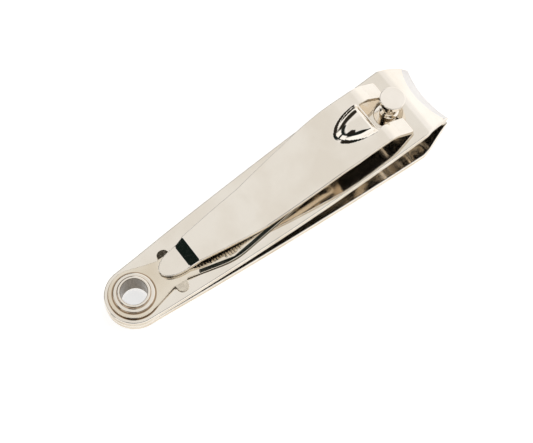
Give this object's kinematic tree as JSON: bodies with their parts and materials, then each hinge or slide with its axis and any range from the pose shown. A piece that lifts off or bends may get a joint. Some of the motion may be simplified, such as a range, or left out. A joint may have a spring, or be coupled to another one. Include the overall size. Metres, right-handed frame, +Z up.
{
  "type": "nail clipper",
  "caption": "Fingernail clipper: bowed jaws with hollow cutting edges on a hollow rivet, a stud, a folding lever with a forked end and a swing-out file.",
  "frame": {"origin": "on the rivet's axis, where the two jaws meet", "axes": "+X towards the cutting edges, +Z up through the lever, +Y to the left"},
  "size_m": [0.0599, 0.013, 0.0149],
  "materials": {
    "jaw_nickel": "polished nickel plate on steel, ground cutting bevels",
    "lever_nickel": "polished nickel plate on steel",
    "stud_nickel": "polished nickel plate on steel",
    "rivet_nickel": "polished nickel plate on steel",
    "file_nickel": "nickel plated steel with cut teeth"
  },
  "bodies": {
    "frame": {"lower_jaw": "jaw_nickel", "tubular_rivet": "rivet_nickel", "rivet_washer": "rivet_nickel"},
    "upper_jaw": {"upper_jaw": "jaw_nickel"},
    "file": {"nail_file": "file_nickel"},
    "stud": {"stud": "stud_nickel"},
    "lever": {"lever": "lever_nickel"}
  },
  "joints": [
    {"name": "jaw_close", "type": "hinge", "parent": "frame", "child": "upper_jaw", "pos_m": [0, 0, 0], "axis": [0, 1, 0], "range_deg": [0, 1.5], "stiffness_Nm_per_rad": 0.3},
    {"name": "file_swing", "type": "hinge", "parent": "frame", "child": "file", "pos_m": [0, 0, 0], "axis": [0, 0, 1], "range_deg": [-180, 0]},
    {"name": "stud_turn", "type": "hinge", "parent": "frame", "child": "stud", "pos_m": [0.04677, 0, -0.00296], "axis": [0.0952, 0, 0.9955], "range_deg": [0, 180.1]},
    {"name": "lever_flip", "type": "hinge", "parent": "stud", "child": "lever", "pos_m": [0.0489, 0, 0.0066], "axis": [0, 1, 0], "range_deg": [0, 168]}
  ],
  "couplings": [
    {"joint": "stud_turn", "follows": "lever_flip", "ratio": 1.0714}
  ]
}
